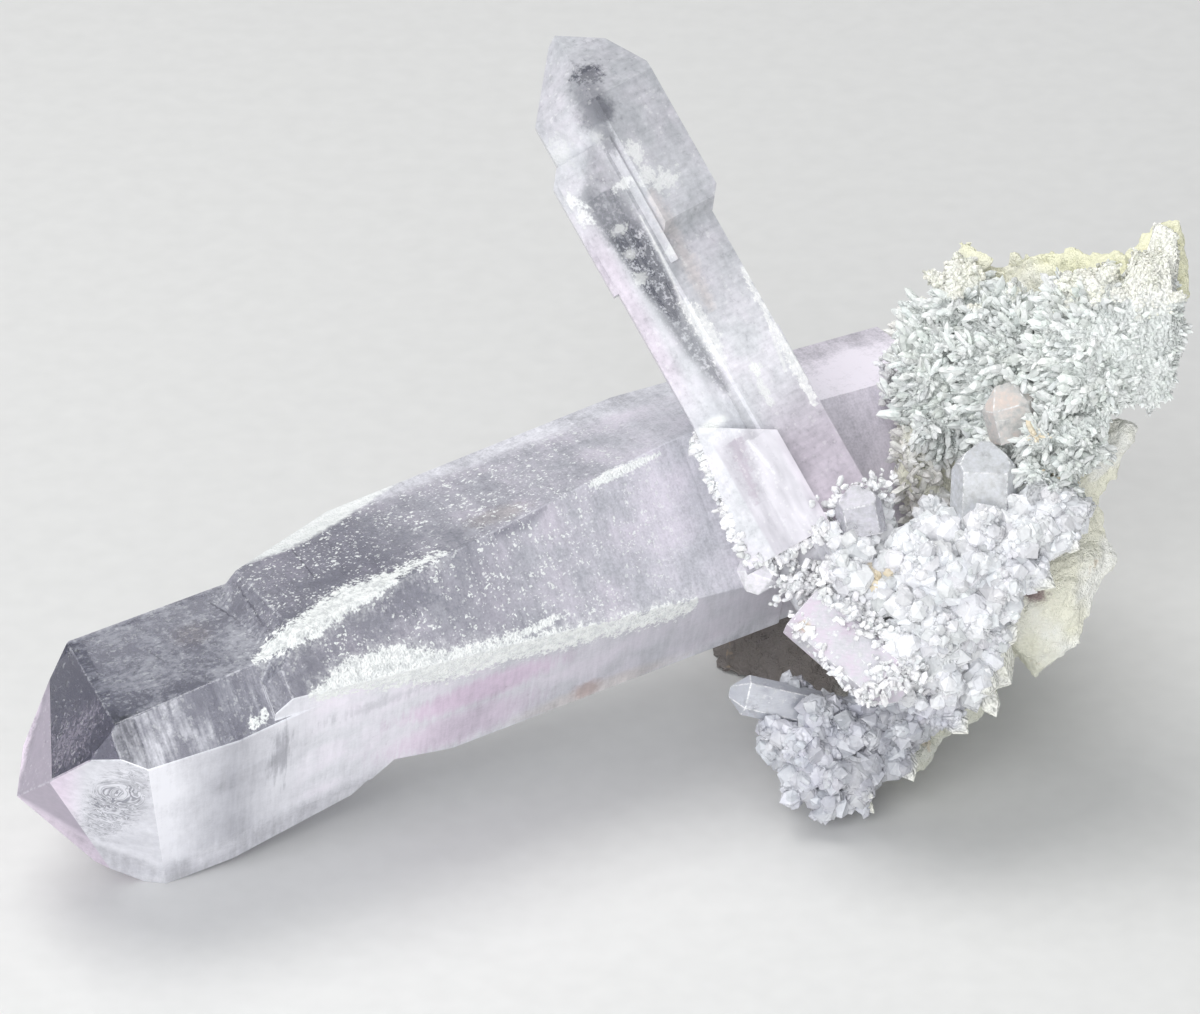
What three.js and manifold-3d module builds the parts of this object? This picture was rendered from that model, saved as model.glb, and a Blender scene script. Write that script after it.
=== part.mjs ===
// An amethyst specimen: two large quartz prisms and six smaller crystals on a crust of druse, which covers
// a broken slab of cream-coloured rock. Millimetres, +Z up, +X from the main crystal's point to the rock.
import * as THREE from 'three';
import { ConvexGeometry } from 'three/addons/geometries/ConvexGeometry.js';
import { mergeVertices } from 'three/addons/utils/BufferGeometryUtils.js';
import Module from 'manifold-3d';

const wasm = await Module();
wasm.setup();

// Driving dimensions, in millimetres and degrees
const gap = 0.3; // between pieces that touch
const pyramidLean = 38.2; // a quartz point's faces against its long axis
const pyramidRise = 1 / Math.tan(THREE.MathUtils.degToRad(pyramidLean));
const frontSide = new THREE.Vector3(0, -0.866, 0.5); // the specimen's best side faces forward and up

const mainCentre = [-7.3, 0.4, 18.6];
const mainRootYaw = 26.1;
const mainRootPitch = 7.5;
const mainHeadAt = 30.5; // the thick head's middle, from the centre towards the point
const mainRootEnd = 41; // the buried end, behind the centre
const lowerEdgeOut = 11.66; // the lower edge, from the long axis
const lowerEdgeForward = -2.4;
const bayWidth = 12; // the bay in that edge

const secondCentre = [6.8, 9.2, 42.0];
const secondTipYaw = 138.5;
const secondTipPitch = 48.9;
const secondHeadAt = 14.45;
const secondFootAt = -18;
const secondRootEnd = 29;

// The slab of rock runs along slabSide and its druse grows along slabFace
const slabSide = new THREE.Vector3(0.76, -0.563, 0.325).normalize();
const slabFace = new THREE.Vector3(-0.65, -0.658, 0.38).normalize();
const slabRise = new THREE.Vector3().crossVectors(slabFace, slabSide).normalize();

// The small crystals' sides, and how the druse's points stand in their beds
const sideReach = 0.93; // a slanting side's reach against a regular prism's
const pointRoot = 0.78; // how far out the points' roots lie in their bed, in its half sizes
const pointLift = 0.6; // the least length that a point stands clear of its root
const pointLean = 0.9;
const pointTaper = 0.92; // a point's width at its shoulder against its root
const pointSharp = 0.8; // its height above the shoulder against an even pyramid's
const bedCover = 1.35; // how far round its bed the druse reaches: 2 is all the way
const bedClear = 0.9; // a point's root is no deeper than this in a neighbouring lump

const colours = { amethyst: '#b9b0bf', druse: '#d4d6d6', rock: '#dcd8bf', russet: '#c9b5ad' };

// A repeatable run of random numbers from 0 to 1
function dice(seed) {
  let state = seed;
  return () => {
    state = (state * 1664525 + 1013904223) % 4294967296;
    return state / 4294967296;
  };
}

function heading(yaw, pitch) {
  const [y, p] = [yaw, pitch].map(THREE.MathUtils.degToRad);
  return new THREE.Vector3(Math.cos(p) * Math.cos(y), Math.cos(p) * Math.sin(y), Math.sin(p));
}

// A crystal's own axes: its point, the side that faces forward, and the side a quarter turn on from that
function crystalAxes(tip, forward = frontSide) {
  const front = forward.clone().addScaledVector(tip, -forward.dot(tip)).normalize();
  const side = new THREE.Vector3().crossVectors(tip, front);
  return { tip: tip.clone(), front, side };
}

// A closed geometry with its shared corners merged, as a solid that can be joined and cut
function solidOf(geometry) {
  const bare = geometry.clone();
  bare.deleteAttribute('normal');
  bare.deleteAttribute('uv');
  const merged = mergeVertices(bare, 1e-5);
  const corners = [...merged.index.array];
  const kept = [];
  for (let i = 0; i < corners.length; i += 3) {
    const [a, b, c] = corners.slice(i, i + 3);
    if (a !== b && b !== c && c !== a) kept.push(a, b, c);
  }
  const vertProperties = merged.attributes.position.array;
  return new wasm.Manifold(new wasm.Mesh({ numProp: 3, vertProperties, triVerts: new Uint32Array(kept) }));
}

function join(solids) {
  return solids.reduce((whole, next) => whole.add(next));
}

// The solid less the tools, without the crumbs that a cut leaves loose
function cut(solid, tools) {
  const left = tools.reduce((rest, tool) => rest.subtract(tool), solid);
  return left.decompose().reduce((largest, next) => (next.volume() > largest.volume() ? next : largest));
}

function namedMesh(name, solid, colour, roughness) {
  const { vertProperties, triVerts } = solid.getMesh();
  const geometry = new THREE.BufferGeometry();
  geometry.setAttribute('position', new THREE.BufferAttribute(new Float32Array(vertProperties), 3));
  geometry.setIndex([...triVerts]);
  geometry.computeVertexNormals();
  const material = new THREE.MeshStandardMaterial({ color: colour, roughness, metalness: 0 });
  const mesh = new THREE.Mesh(geometry, material);
  mesh.name = name;
  return mesh;
}

// The corners of the convex space behind all of the planes: each three planes that meet inside the rest
function cornersBehind(planes) {
  const found = [];
  const holds = (p) => planes.every((plane) => plane.distanceToPoint(p) < 1e-6);
  for (let i = 0; i < planes.length; i++) {
    for (let j = i + 1; j < planes.length; j++) {
      for (let k = j + 1; k < planes.length; k++) {
        const [a, b, c] = [planes[i], planes[j], planes[k]];
        const crossed = new THREE.Vector3().crossVectors(b.normal, c.normal);
        const volume = a.normal.dot(crossed);
        if (Math.abs(volume) < 1e-6) continue;
        const p = crossed.multiplyScalar(-a.constant);
        p.addScaledVector(new THREE.Vector3().crossVectors(c.normal, a.normal), -b.constant);
        p.addScaledVector(new THREE.Vector3().crossVectors(a.normal, b.normal), -c.constant);
        p.divideScalar(volume);
        if (holds(p) && found.every((q) => q.distanceTo(p) > 1e-4)) found.push(p);
      }
    }
  }
  return found;
}

// A flat-faced block of crystal. A face is [turn, lean, reach]: its turn about the long axis from the front,
// how far it leans towards the point (a prism face 0, a pyramid face 38, the root's end -90) and its distance
// from the block's middle, which lies `along` the axis from the crystal's centre.
function crystalBlock(centre, axes, along, faces, grow = 0) {
  const middle = new THREE.Vector3(...centre).addScaledVector(axes.tip, along);
  const planes = faces.map(([turn, lean, reach]) => {
    const [t, l] = [turn, lean].map(THREE.MathUtils.degToRad);
    const normal = new THREE.Vector3();
    normal.addScaledVector(axes.front, Math.cos(l) * Math.cos(t));
    normal.addScaledVector(axes.side, Math.cos(l) * Math.sin(t));
    normal.addScaledVector(axes.tip, Math.sin(l));
    return new THREE.Plane(normal, -(reach + grow + normal.dot(middle)));
  });
  return solidOf(new ConvexGeometry(cornersBehind(planes)));
}

// The large prism: a head that sits low and stops at a ledge, a body that widens on its front face towards
// the root, and a root of even width
function mainCrystal(grow = 0) {
  const axes = crystalAxes(heading(mainRootYaw, mainRootPitch).negate());
  const head = [
    [0, -5, 11.5], [60, 0, 6.6], [120, 0, 7.8], [180, 0, 10.3], [240, 0, 14.3], [300, 0, 9.6],
    [240, -6, 14.2], [300, -6, 9.55], [240, -pyramidLean, 18.1],
    [75, 52.6, 11.4], [66, 44, 10.6], [296, 35.5, 12.1], [287, 49.3, 13.6],
    [0, pyramidLean, 16], [120, pyramidLean, 10.9], [180, pyramidLean, 11.3], [240, pyramidLean, 15.8],
    [0, -90, 18],
  ];
  const body = [
    [0, -10.7, 8.1], [60, 0, 8.3], [120, 3, 11.6], [120, 19.5, 14.6], [180, 0, 10], [240, 0, 11.3],
    [300, 0, 8.9], [60, -3.8, 9.3], [120, -3.8, 13.4], [60, pyramidLean, 20.8], [0, pyramidLean, 26],
    [0, 90, 27], [0, -90, 22],
  ];
  const root = [
    [0, 0, 5], [60, -3.8, 9.1], [120, -3.8, 13.2], [180, 0, 9.8], [240, 0, 11.1], [300, 0, 8.7],
    [0, 90, -15], [0, -90, mainRootEnd],
  ];
  const whole = join([
    crystalBlock(mainCentre, axes, mainHeadAt, head, grow),
    crystalBlock(mainCentre, axes, 0, body, grow),
    crystalBlock(mainCentre, axes, 0, root, grow),
  ]);
  return cut(whole, [edgeBay(axes)]);
}

// A shallow bay in the main crystal's lower edge, just behind the head: its outline runs along the edge
// and out from it
function edgeBay(axes) {
  const outline = [[3.6, 1], [15.3, -0.95], [19.6, 1]].map(([x, y]) => new THREE.Vector2(x, y));
  const wedge = new THREE.ExtrudeGeometry(new THREE.Shape(outline), { depth: bayWidth, bevelEnabled: false });
  const out = axes.side.clone().negate();
  const edge = new THREE.Vector3(...mainCentre);
  edge.addScaledVector(out, lowerEdgeOut).addScaledVector(axes.front, lowerEdgeForward);
  wedge.translate(0, 0, -bayWidth / 2);
  wedge.applyMatrix4(new THREE.Matrix4().makeBasis(axes.tip, out, axes.front).setPosition(edge));
  return solidOf(wedge);
}

// The slender prism: an edge faces forward. Its wider head overhangs to the right, and a broken block that
// grew in parallel thickens its foot.
function secondCrystal(grow = 0) {
  const axes = crystalAxes(heading(secondTipYaw, secondTipPitch));
  const head = [
    [30, 0, 5.9], [90, 0, 7.05], [150, 0, 5.8], [210, 0, 4.4], [270, 0, 3.95], [330, 0, 4.3],
    [270, 38.5, 5.27], [90, 30, 8], [90, 57, 9.2], [30, pyramidLean, 6.5], [150, pyramidLean, 6.5],
    [210, pyramidLean, 5.4], [330, pyramidLean, 5.4], [0, 90, 9.8],
    [90, -pyramidLean, 10.6], [30, -pyramidLean, 10.2], [0, -90, 10],
  ];
  const body = [
    [30, 0, 5.1], [90, 0, 5.6], [150, 0, 5.3], [210, 0, 5], [270, 0, 4.75], [330, 0, 5.1],
    [270, pyramidLean, 11.7], [330, pyramidLean, 11.9], [0, 90, 15], [0, -90, secondRootEnd],
  ];
  const leftLedge = [
    [210, 0, 4.7], [270, 0, 5.2], [330, 0, 4.8], [270, pyramidLean, 11.9], [90, 0, 1],
    [0, 90, 14], [0, -90, -2.2],
  ];
  const rightLedge = [
    [30, 0, 4.8], [90, -1.2, 5.9], [150, 0, 5], [90, pyramidLean, 0.4], [270, 0, 1], [0, 90, 1],
    [0, -90, secondRootEnd - 1],
  ];
  const foot = [
    [0, 0, 7.2], [270, 8.1, 5.8], [90, 0, 1.1], [90, 59, 3.7], [330, 0, 7.4], [180, 0, 1], [0, -90, 5.5],
  ];
  return join([
    crystalBlock(secondCentre, axes, secondHeadAt, head, grow),
    crystalBlock(secondCentre, axes, 0, body, grow),
    crystalBlock(secondCentre, axes, 0, leftLedge, grow),
    crystalBlock(secondCentre, axes, 0, rightLedge, grow),
    crystalBlock(secondCentre, axes, secondFootAt, foot, grow),
  ]);
}

// A short crystal of six sides, `width` across and `depth` deep, with its point at `tip`. Every other face of
// the point is set back by `step`, so that it isn't even.
function shortCrystal({ tip, yaw, pitch, length, width, depth, step = 0 }, grow = 0) {
  const axes = crystalAxes(heading(yaw, pitch));
  const [w, d] = [width / 2, depth / 2];
  const shoulder = pyramidRise * d;
  const faces = [];
  for (let turn = 0; turn < 360; turn += 60) {
    const reach = turn % 180 === 0 ? d : ((w * Math.sqrt(3) + d) / 2) * sideReach;
    const lower = turn % 120 === 0 ? step : 0;
    faces.push([turn, 0, reach]);
    faces.push([turn, pyramidLean, Math.cos(THREE.MathUtils.degToRad(pyramidLean)) * (reach - lower)]);
  }
  faces.push([0, -90, length - shoulder]);
  return crystalBlock(tip, axes, -shoulder, faces, grow);
}

const smallCrystals = {
  blade_crystal: {
    tip: [25.6, -14.8, 16.2], yaw: -34, pitch: -27, length: 11.5, width: 4.2, depth: 2.8, step: 0.4,
  },
  pendant_crystal: { tip: [12.8, -7.1, 21.7], yaw: -115, pitch: -45, length: 6, width: 2.6, depth: 2.2 },
  finger_crystal: { tip: [11, -6.1, 11.4], yaw: -176, pitch: 17, length: 8, width: 2.5, depth: 2.3 },
  upright_crystal: {
    tip: [32.4, -2.3, 34.1], yaw: 85, pitch: 68, length: 9, width: 4.1, depth: 3.4, step: 0.5,
  },
  leaning_crystal: {
    tip: [21.2, -5.1, 31.4], yaw: 116, pitch: 63, length: 4.6, width: 3, depth: 2.4, step: 0.4,
  },
  russet_crystal: { tip: [33.9, 0.7, 37.6], yaw: 143, pitch: 71, length: 4.8, width: 3.4, depth: 2.8 },
};

// An angular lump: a convex hull round points strewn over an ellipsoid that lies along the slab, with any
// sharp corners that it also reaches
function lump({ at, size, facets = 16, seed = 1, corners = [] }, grow = 0) {
  const random = dice(seed);
  const points = corners.map((corner) => new THREE.Vector3(...corner));
  for (let i = 0; i < facets; i++) {
    const spread = 1 - (2 * (i + 0.5)) / facets;
    const turn = i * Math.PI * (3 - Math.sqrt(5)) + random() * 0.7;
    const ring = Math.sqrt(1 - spread * spread);
    const rough = 0.9 + 0.2 * random();
    const p = new THREE.Vector3(...at);
    p.addScaledVector(slabSide, (size[0] * rough + grow) * ring * Math.cos(turn));
    p.addScaledVector(slabRise, (size[1] * rough + grow) * ring * Math.sin(turn));
    p.addScaledVector(slabFace, (size[2] * rough + grow) * spread);
    points.push(p);
  }
  if (grow > 0) {
    const middle = new THREE.Vector3(...at);
    points.slice(0, corners.length).forEach((p) => p.add(p.clone().sub(middle).setLength(grow)));
  }
  return solidOf(new ConvexGeometry(points));
}

// The rock: an upper wall with two horns, a bulging right flank that narrows to the bottom, a cup that holds
// the main crystal's root at the back, and a foot under it
const rockLumps = [
  {
    at: [38.6, 11.1, 35.2], size: [10, 7.5, 3.5], facets: 15, seed: 3,
    corners: [[35.3, 16.3, 42.2], [43.4, 10, 45.4]],
  },
  {
    at: [47, 4.5, 45.9], size: [3, 5, 2.5], seed: 5,
    corners: [[46.8, 7.1, 50.4], [49, 6.3, 51], [43.9, 7.7, 45.5]],
  },
  { at: [44, 7, 42.5], size: [4.5, 4.5, 2.5], facets: 13, seed: 50 },
  {
    at: [31.7, 16.1, 39.9], size: [2.5, 3.5, 2.5], seed: 8,
    corners: [[30.8, 17.9, 43.1], [34.3, 14.2, 42.7]],
  },
  {
    at: [36.8, -0.5, 19.4], size: [6, 8.4, 5], seed: 13,
    corners: [[44.2, -1.3, 22.2], [42.8, 0.1, 26.2], [37.3, -3.8, 11.5]],
  },
  { at: [40, 2.1, 29.6], size: [3.8, 6.5, 4], seed: 17, corners: [[45.8, 0.7, 33.3], [42.5, 0.7, 27.3]] },
  { at: [38.6, 2.9, 25.1], size: [5, 8, 5], facets: 13, seed: 19 },
  { at: [30.4, -1.9, 10.4], size: [4.6, 4.4, 4.5], seed: 21, corners: [[30, -3.4, 4.6]] },
  { at: [25.6, -3, 4.2], size: [4.2, 3.8, 4], seed: 34, corners: [[28.6, -3.6, 3.4]] },
  { at: [33.4, 0.6, 14.5], size: [5, 5, 4.5], facets: 13, seed: 40 },
  { at: [27.6, 2.8, 11.5], size: [5, 5.5, 5], facets: 13, seed: 47 },
  {
    at: [32, 18, 24], size: [4, 8, 4], facets: 8, seed: 61,
    corners: [
      [31.1, 19.9, 38.5], [34.5, 16.6, 40.8], [38, 15.9, 37.5], [39.1, 11.6, 30], [38.4, 6.4, 23.1],
      [37.2, 5.5, 17.6], [34.7, 2.9, 11], [29.9, 8.9, 8.4], [27.7, 15.4, 7.6], [29.6, 31.2, 27.1],
      [29.4, 31.8, 20.5], [32.5, 28.4, 16.3], [31.4, 20.1, 7.9], [24, 29.6, 25.2], [24.6, 30, 16.6],
      [25.7, 23.7, 10], [25.6, 5.5, 25.5], [26.2, 7.2, 28.5],
    ],
  },
  {
    at: [21, 16, 5], size: [6, 5, 4], facets: 8, seed: 89,
    corners: [
      [10.5, 15.2, -1], [9, 21.5, -1], [15, 26, -1], [27, 22, -1], [30, 8, -1], [20, 9, -1], [12, 17, 6.5],
      [28, 22, 11], [35, 13, 12], [32, 5, 11],
    ],
  },
];

// Beds of druse: each is a lump of crust with small points standing on it, [radius, length]
const druseBeds = [
  { at: [29.6, 9.6, 32.6], size: [4.5, 7, 4], count: 18, point: [0.8, 0.7], seed: 2 },
  { at: [34.9, 6.3, 35.9], size: [6, 7.5, 4], count: 22, point: [0.8, 0.6], seed: 4 },
  { at: [41.5, 1.6, 40.8], size: [6, 7.5, 4], count: 20, point: [0.8, 0.5], seed: 6 },
  { at: [45.9, -0.2, 43.7], size: [3.2, 7.4, 3], count: 12, point: [0.7, 0.4], seed: 7 },
  { at: [37.9, -0.6, 32.9], size: [5, 4.5, 3.5], count: 14, point: [1, 0.8], seed: 9 },
  { at: [31, 12.3, 39.4], size: [3, 4, 2.5], count: 7, point: [0.6, 0.4], seed: 10 },
  { at: [47.1, 3.3, 47.8], size: [2, 4.2, 1.5], count: 0, point: [0.6, 0.4], seed: 11 },
  {
    at: [28.6, 14, 35.6], size: [2.8, 3, 2.4], count: 2, point: [0.5, 0.2], seed: 14,
    corners: [[26.6, 17, 34.8]],
  },
  { at: [22, -5.5, 22.6], size: [5.5, 5, 4.5], count: 14, point: [1.3, 0.9], seed: 12 },
  { at: [27.8, -7.4, 21.2], size: [6, 6.5, 5], count: 20, point: [1.4, 0.9], seed: 15 },
  { at: [32.4, -6.6, 24.7], size: [5, 5, 4], count: 14, point: [1.3, 0.9], seed: 18 },
  { at: [37.4, -5.1, 27.2], size: [3.5, 3, 3], count: 9, point: [1, 0.8], seed: 20 },
  { at: [30.9, -8, 16.2], size: [5, 4.5, 4], count: 12, point: [1.2, 0.9], seed: 22 },
  { at: [27.7, -7.4, 11.3], size: [4.5, 3, 3.5], count: 9, point: [1, 0.8], seed: 24 },
  { at: [18.6, -6.6, 6.4], size: [4, 4.5, 3.5], count: 11, point: [1.2, 0.9], seed: 27 },
  { at: [21, -7.6, 4], size: [4.2, 3.4, 3.5], count: 11, point: [1.1, 0.7], seed: 30 },
  { at: [24, -5.5, 6.6], size: [4.5, 4, 4], count: 10, point: [1.1, 0.8], seed: 33 },
];

// How far a point lies from a lump's middle, in the lump's half sizes
function reachIn({ at, size }, p) {
  const from = p.clone().sub(new THREE.Vector3(...at));
  return Math.hypot(from.dot(slabSide) / size[0], from.dot(slabRise) / size[1], from.dot(slabFace) / size[2]);
}

// A small six-sided point that stands at `base` and looks along `way`
function drusePoint(base, way, radius, length, roll) {
  const peak = length + pyramidRise * radius * pointSharp;
  const outline = [[0, 0], [radius, 0], [radius * pointTaper, length], [0, peak]];
  const shape = new THREE.LatheGeometry(outline.map(([x, y]) => new THREE.Vector2(x, y)), 6);
  const turn = new THREE.Quaternion().setFromUnitVectors(new THREE.Vector3(0, 1, 0), way);
  shape.rotateY(roll);
  shape.applyQuaternion(turn);
  shape.translate(base.x, base.y, base.z);
  return solidOf(shape);
}

// Points of druse over the open side of a bed, none of them inside another lump
function drusePoints(bed) {
  const random = dice(bed.seed * 97);
  const others = [...druseBeds, ...rockLumps].filter((other) => other !== bed);
  const points = [];
  const [radius, length] = bed.point;
  for (let i = 0; i < bed.count; i++) {
    const spread = 1 - (bedCover * (i + 0.5)) / bed.count;
    const turn = i * Math.PI * (3 - Math.sqrt(5));
    const ring = Math.sqrt(1 - spread * spread);
    const way = new THREE.Vector3();
    way.addScaledVector(slabSide, ring * Math.cos(turn));
    way.addScaledVector(slabRise, ring * Math.sin(turn));
    way.addScaledVector(slabFace, spread);
    const base = new THREE.Vector3(...bed.at);
    [slabSide, slabRise, slabFace].forEach((axis, k) => {
      base.addScaledVector(axis, way.dot(axis) * bed.size[k] * pointRoot);
    });
    const lean = new THREE.Vector3(random() - 0.5, random() - 0.5, random() - 0.5).multiplyScalar(pointLean);
    const size = 0.7 + 0.8 * random();
    const roll = random() * Math.PI;
    const open = others.every((other) => reachIn(other, base) > bedClear);
    const tall = pointLift + length * size;
    if (open) points.push(drusePoint(base, way.add(lean).normalize(), radius * size, tall, roll));
  }
  return points;
}

// What lies below the surface that the specimen rests on
function underside() {
  const depth = 20;
  return solidOf(new THREE.BoxGeometry(200, 200, depth).translate(0, 0, -depth / 2));
}

const prisms = [mainCrystal(gap), secondCrystal(gap)];
const tools = [...prisms, ...Object.values(smallCrystals).map((size) => shortCrystal(size, gap))];

const rock = cut(join(rockLumps.map((one) => lump(one))), [underside(), ...tools]);
const grownRock = join(rockLumps.map((one) => lump(one, gap)));
const bedsAndPoints = join(druseBeds.flatMap((bed) => [lump(bed), ...drusePoints(bed)]));
const crust = cut(bedsAndPoints, [underside(), grownRock, ...tools]);

const specimen = new THREE.Group();
specimen.add(namedMesh('main_crystal', cut(mainCrystal(), [underside()]), colours.amethyst, 0.18));
specimen.add(namedMesh('second_crystal', secondCrystal(), colours.amethyst, 0.15));
for (const [name, size] of Object.entries(smallCrystals)) {
  const colour = name === 'russet_crystal' ? colours.russet : colours.amethyst;
  specimen.add(namedMesh(name, cut(shortCrystal(size), prisms), colour, 0.2));
}
specimen.add(namedMesh('druse_crust', crust, colours.druse, 0.35));
specimen.add(namedMesh('matrix_rock', rock, colours.rock, 0.9));

// The origin is the middle of the footprint
const bounds = new THREE.Box3().setFromObject(specimen);
const middle = bounds.getCenter(new THREE.Vector3());
specimen.position.set(-middle.x, -middle.y, -bounds.min.z);

export default specimen;
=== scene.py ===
import math

import bmesh
import bpy
import numpy as np
from mathutils import Matrix, Vector
from mathutils.bvhtree import BVHTree


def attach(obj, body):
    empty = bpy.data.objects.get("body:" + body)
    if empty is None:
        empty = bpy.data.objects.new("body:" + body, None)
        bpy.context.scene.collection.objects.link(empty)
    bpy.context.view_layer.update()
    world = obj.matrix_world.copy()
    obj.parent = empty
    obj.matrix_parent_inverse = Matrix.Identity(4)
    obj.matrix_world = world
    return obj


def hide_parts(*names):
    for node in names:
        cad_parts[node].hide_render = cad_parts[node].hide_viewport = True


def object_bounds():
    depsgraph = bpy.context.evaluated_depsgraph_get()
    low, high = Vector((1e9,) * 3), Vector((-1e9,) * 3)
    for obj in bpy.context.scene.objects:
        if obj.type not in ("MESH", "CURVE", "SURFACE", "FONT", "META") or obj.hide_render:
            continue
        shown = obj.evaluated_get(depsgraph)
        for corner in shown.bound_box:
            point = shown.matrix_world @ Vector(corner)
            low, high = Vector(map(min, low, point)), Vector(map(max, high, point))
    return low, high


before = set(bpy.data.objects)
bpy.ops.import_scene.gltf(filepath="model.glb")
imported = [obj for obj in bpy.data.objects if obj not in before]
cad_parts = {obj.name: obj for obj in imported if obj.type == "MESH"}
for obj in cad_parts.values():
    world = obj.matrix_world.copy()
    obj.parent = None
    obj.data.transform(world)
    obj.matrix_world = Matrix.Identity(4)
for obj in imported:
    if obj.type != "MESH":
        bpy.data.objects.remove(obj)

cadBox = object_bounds()
mm = 0.001
quartzIor = 1.544
# white of the rounded edges: edge wear and painted highlight
edgeSheenWhite = (0.92, 0.93, 0.97, 1)
prismClear = (0.97, 0.97, 0.99, 1)
sharpFrom = 18  # degrees between two faces, from which their edge is rounded

studio = {
    "target": (-0.455, -1.897, 26.03),  # mm, the point that the middle of the picture looks at
    "distance": 480.0,
    "elevation": 30.0,
    "fieldWidth": 102.0,  # mm across the picture at the target
    "floorColour": (0.72, 0.72, 0.71, 1),
    "worldColour": (0.50, 0.52, 0.55, 1),
    "worldStrength": 0.54,
}


# one output of a shader node, on which sums can be written
class Wire:
    def __init__(self, finish, socket):
        self.finish, self.socket = finish, socket

    def __add__(self, other):
        return self.finish.sum("ADD", self, other)

    def __sub__(self, other):
        return self.finish.sum("SUBTRACT", self, other)

    def __rsub__(self, other):
        return self.finish.sum("SUBTRACT", other, self)

    def __mul__(self, other):
        return self.finish.sum("MULTIPLY", self, other)

    __radd__ = __add__
    __rmul__ = __mul__


# a procedural material under construction
class Finish:
    def __init__(self, name):
        self.material = bpy.data.materials.new(name)
        self.material.use_nodes = True
        self.tree = self.material.node_tree
        self.tree.nodes.clear()

    def add(self, kind, settings=None, values=None, out=0):
        node = self.tree.nodes.new("ShaderNode" + kind)
        for key, value in (settings or {}).items():
            if key == "stops":
                ramp = node.color_ramp
                while len(ramp.elements) < len(value):
                    ramp.elements.new(0.5)
                for element, (place, colour) in zip(ramp.elements, value):
                    element.position = place
                    element.color = colour if hasattr(colour, "__len__") else (colour, colour, colour, 1)
            else:
                setattr(node, key, value)
        for key, value in (values or {}).items():
            if isinstance(value, Wire):
                self.tree.links.new(value.socket, node.inputs[key])
            else:
                node.inputs[key].default_value = value
        return Wire(self, node.outputs[out])

    def sum(self, operation, a, b=0.0):
        return self.add("Math", {"operation": operation}, {0: a, 1: b})

    # 0 below low, 1 above high, smooth between
    def ease(self, value, low, high):
        return self.add("MapRange", {"interpolation_type": "SMOOTHSTEP"}, {0: value, 1: low, 2: high})

    # 1 at middle, falling to 0 at reach either way
    def near(self, value, middle, reach):
        return 1 - self.ease(self.sum("ABSOLUTE", value - middle), reach * 0.35, reach)

    # a where share is 0 and b where it is 1, for colours
    def blend(self, share, a, b):
        return self.add("Mix", {"data_type": "RGBA"}, {0: share, 6: a, 7: b}, 2)

    # the same for numbers
    def between(self, share, a, b):
        return self.add("Mix", {"data_type": "FLOAT"}, {0: share, 2: a, 3: b}, 0)

    def noise(self, where, scale, detail, distortion=0.0, rough=0.55):
        return self.add("TexNoise", None, {"Vector": where, "Scale": scale, "Detail": detail,
                                           "Roughness": rough, "Distortion": distortion})

    def stretch(self, where, factors):
        return self.add("Mapping", None, {"Vector": where, "Scale": factors})

    def ramp(self, value, stops):
        return self.add("ValToRGB", {"stops": stops}, {0: value})

    # position in millimetres, from a centre and along three axes of the piece's own
    def place(self, centre=(0, 0, 0), axes=None):
        turn = Matrix(axes).transposed().to_euler() if axes else (0, 0, 0)
        at = self.add("TexCoord", None, None, 3)
        return self.add("Mapping", {"vector_type": "TEXTURE"},
                        {"Vector": at, "Location": [c * mm for c in centre], "Rotation": turn,
                         "Scale": (mm, mm, mm)})

    def split(self, where):
        node = self.add("SeparateXYZ", None, {0: where}).socket.node
        return [Wire(self, node.outputs[i]) for i in range(3)]

    def bump(self, height, strength, distance):
        return self.add("Bump", None, {"Height": height, "Strength": strength, "Distance": distance})

    def shader(self, values):
        return self.add("BsdfPrincipled", None, values)

    def mixShaders(self, share, a, b):
        return self.add("MixShader", None, {0: share, 1: a, 2: b})

    def attribute(self, name, out=0):
        return self.add("Attribute", {"attribute_name": name}, None, out)

    def most(self, first, *others):
        for other in others:
            first = self.sum("MAXIMUM", first, other)
        return first

    # a number that runs straight from stop to stop along the crystal; a stop is (mm, value)
    def along(self, u, stops):
        first, last = stops[0][0], stops[-1][0]
        low, high = min(value for _, value in stops), max(value for _, value in stops)
        shares = [((at - first) / (last - first), (value - low) / (high - low)) for at, value in stops]
        return self.ramp((u - first) * (1 / (last - first)), shares) * (high - low) + low

    # a ragged stroke along the crystal; a stop is (mm along, its middle across, half its width)
    def stroke(self, u, w, stops, ragged, soft=0.12):
        before, after = (stops[0][0] - 0.4, stops[0][1], -2.0), (stops[-1][0] + 0.4, stops[-1][1], -2.0)
        stops = [before, *stops, after]
        middle = self.along(u, [(at, across) for at, across, _ in stops])
        half = self.along(u, [(at, wide) for at, _, wide in stops])
        return self.ease(half - self.sum("ABSOLUTE", w - middle) + ragged, -soft, soft)

    # a soft round patch: the distance in half sizes from its middle (mm along, mm across)
    def patch(self, u, w, at, size, ragged):
        across, up = (u - at[0]) * (1 / size[0]), (w - at[1]) * (1 / size[1])
        return 1 - self.ease(self.sum("SQRT", across * across + up * up) + ragged, 0.4, 1.15)

    # clear quartz where milk is 0, milky quartz of the body's colour where it is 1
    def quartz(self, milk, clear, body, clearRough, milkyRough, skin):
        glass = self.shader({"Base Color": clear, "Roughness": clearRough, "IOR": quartzIor,
                             "Transmission Weight": 1.0, "Normal": skin})
        milky = self.shader({"Base Color": body, "Roughness": milkyRough, "IOR": quartzIor, "Normal": skin})
        return self.mixShaders(milk, glass, milky)

    # half clear and half milky, the same all over
    def insideOf(self, colour):
        return self.shader({"Base Color": colour, "Roughness": 0.15, "IOR": quartzIor,
                            "Transmission Weight": 0.45})

    # a smooth random shift of a place, for ragged outlines
    def wander(self, where):
        return self.add("TexNoise", None, {"Vector": where, "Scale": 2.2, "Detail": 1}, 1)

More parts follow.
